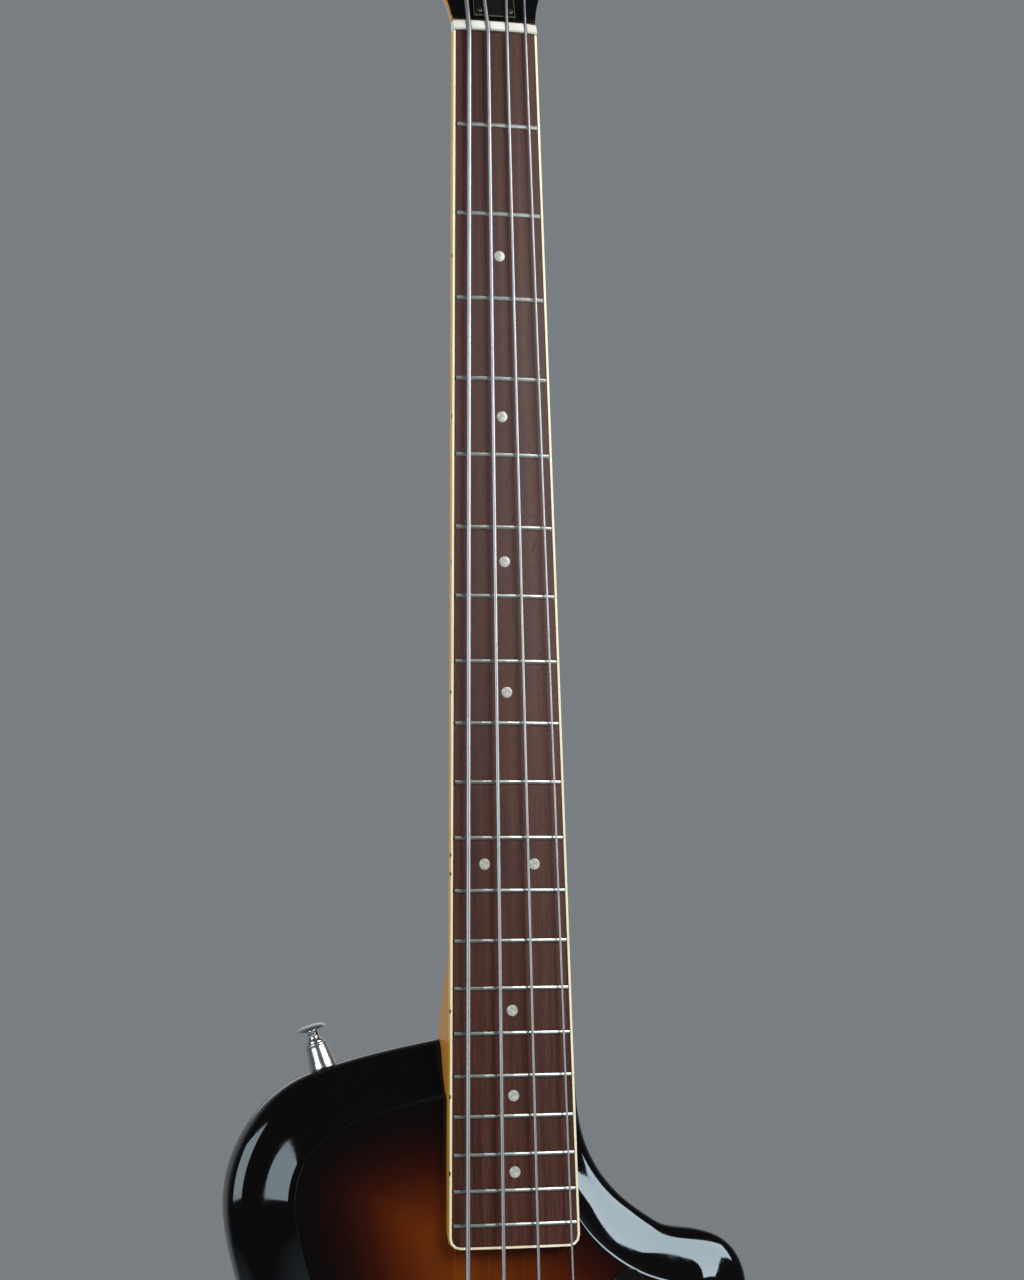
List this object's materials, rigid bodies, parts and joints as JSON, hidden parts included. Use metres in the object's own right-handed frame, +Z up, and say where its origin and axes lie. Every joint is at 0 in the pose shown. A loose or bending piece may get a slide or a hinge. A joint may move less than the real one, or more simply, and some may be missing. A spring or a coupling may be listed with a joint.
{
  "type": "electric bass guitar",
  "caption": "Solid-body electric bass guitar with a carved sunburst body, bound rosewood board, bolted maple neck and open-gear tuners.",
  "frame": {"origin": "middle of the flat end of the strap button at the foot of the body", "axes": "+Z up the neck to the headstock, +X to the treble side, -Y out of the front"},
  "size_m": [0.332, 0.081, 1.1637],
  "materials": {
    "sunburst_lacquer": "gloss lacquer",
    "maple": "gloss lacquer",
    "rosewood": "oiled",
    "cream_binding": "gloss",
    "bone": "polished",
    "fret_nickel": "polished",
    "string_steel": "ground",
    "chrome": "polished",
    "black_plastic": "gloss",
    "brass": "plated"
  },
  "bodies": {
    "instrument": {"body": "sunburst_lacquer", "neck": "maple", "fingerboard": "rosewood", "board_binding": "cream_binding", "fret_01": "fret_nickel", "fret_02": "fret_nickel", "fret_03": "fret_nickel", "fret_04": "fret_nickel", "fret_05": "fret_nickel", "fret_06": "fret_nickel", "fret_07": "fret_nickel", "fret_08": "fret_nickel", "fret_09": "fret_nickel", "fret_10": "fret_nickel", "fret_11": "fret_nickel", "fret_12": "fret_nickel", "fret_13": "fret_nickel", "fret_14": "fret_nickel", "fret_15": "fret_nickel", "fret_16": "fret_nickel", "fret_17": "fret_nickel", "fret_18": "fret_nickel", "fret_19": "fret_nickel", "fret_20": "fret_nickel", "nut": "bone", "truss_rod": "string_steel", "truss_rod_cover": "black_plastic", "neck_plate": "chrome", "pickguard": "black_plastic", "pickup_bass_half": "black_plastic", "pickup_treble_half": "black_plastic", "bridge_plate": "chrome", "string_e": "string_steel", "string_a": "string_steel", "string_d": "string_steel", "string_g": "string_steel", "tuner_plate_e": "chrome", "tuner_plate_a": "chrome", "tuner_plate_d": "chrome", "tuner_plate_g": "chrome", "volume_pot": "brass", "tone_pot": "brass", "output_jack": "chrome", "end_strap_button": "chrome", "upper_strap_spacer": "chrome", "upper_strap_button": "chrome"},
    "key_e": {"tuner_key_e": "chrome"},
    "post_e": {"tuner_post_e": "brass"},
    "saddle_e": {"saddle_e": "chrome"},
    "key_a": {"tuner_key_a": "chrome"},
    "post_a": {"tuner_post_a": "brass"},
    "saddle_a": {"saddle_a": "chrome"},
    "key_d": {"tuner_key_d": "chrome"},
    "post_d": {"tuner_post_d": "brass"},
    "saddle_d": {"saddle_d": "chrome"},
    "key_g": {"tuner_key_g": "chrome"},
    "post_g": {"tuner_post_g": "brass"},
    "saddle_g": {"saddle_g": "chrome"},
    "volume_knob": {"volume_knob": "chrome"},
    "tone_knob": {"tone_knob": "chrome"}
  },
  "joints": [
    {"name": "key_e_turn", "type": "hinge", "parent": "instrument", "child": "key_e", "pos_m": [-0.022, 0.00067, 1.00219], "axis": [-1, 0, 0], "continuous": true},
    {"name": "post_e_turn", "type": "hinge", "parent": "instrument", "child": "post_e", "pos_m": [-0.022, -0.02622, 1.02249], "axis": [0, -0.9703, 0.2419], "continuous": true},
    {"name": "saddle_e_slide", "type": "slide", "parent": "instrument", "child": "saddle_e", "axis": [0, 0, 1], "range_m": [-0.005, 0.005]},
    {"name": "key_a_turn", "type": "hinge", "parent": "instrument", "child": "key_a", "pos_m": [-0.0165, 0.0176, 1.07011], "axis": [-1, 0, 0], "continuous": true},
    {"name": "post_a_turn", "type": "hinge", "parent": "instrument", "child": "post_a", "pos_m": [-0.0165, -0.00928, 1.09042], "axis": [0, -0.9703, 0.2419], "continuous": true},
    {"name": "saddle_a_slide", "type": "slide", "parent": "instrument", "child": "saddle_a", "axis": [0, 0, 1], "range_m": [-0.005, 0.005]},
    {"name": "key_d_turn", "type": "hinge", "parent": "instrument", "child": "key_d", "pos_m": [0.0165, 0.0176, 1.07011], "axis": [1, 0, 0], "continuous": true},
    {"name": "post_d_turn", "type": "hinge", "parent": "instrument", "child": "post_d", "pos_m": [0.0165, -0.00928, 1.09042], "axis": [0, -0.9703, 0.2419], "continuous": true},
    {"name": "saddle_d_slide", "type": "slide", "parent": "instrument", "child": "saddle_d", "axis": [0, 0, 1], "range_m": [-0.005, 0.005]},
    {"name": "key_g_turn", "type": "hinge", "parent": "instrument", "child": "key_g", "pos_m": [0.022, 0.00067, 1.00219], "axis": [1, 0, 0], "continuous": true},
    {"name": "post_g_turn", "type": "hinge", "parent": "instrument", "child": "post_g", "pos_m": [0.022, -0.02622, 1.02249], "axis": [0, -0.9703, 0.2419], "continuous": true},
    {"name": "saddle_g_slide", "type": "slide", "parent": "instrument", "child": "saddle_g", "axis": [0, 0, 1], "range_m": [-0.005, 0.005]},
    {"name": "volume_turn", "type": "hinge", "parent": "instrument", "child": "volume_knob", "pos_m": [0.096, -0.033, 0.1583], "axis": [0, -1, 0], "range_deg": [-150, 150]},
    {"name": "tone_turn", "type": "hinge", "parent": "instrument", "child": "tone_knob", "pos_m": [0.106, -0.033, 0.1203], "axis": [0, -1, 0], "range_deg": [-150, 150]}
  ],
  "couplings": [
    {"joint": "post_e_turn", "follows": "key_e_turn", "ratio": 0.05},
    {"joint": "post_a_turn", "follows": "key_a_turn", "ratio": 0.05},
    {"joint": "post_d_turn", "follows": "key_d_turn", "ratio": -0.05},
    {"joint": "post_g_turn", "follows": "key_g_turn", "ratio": -0.05}
  ]
}
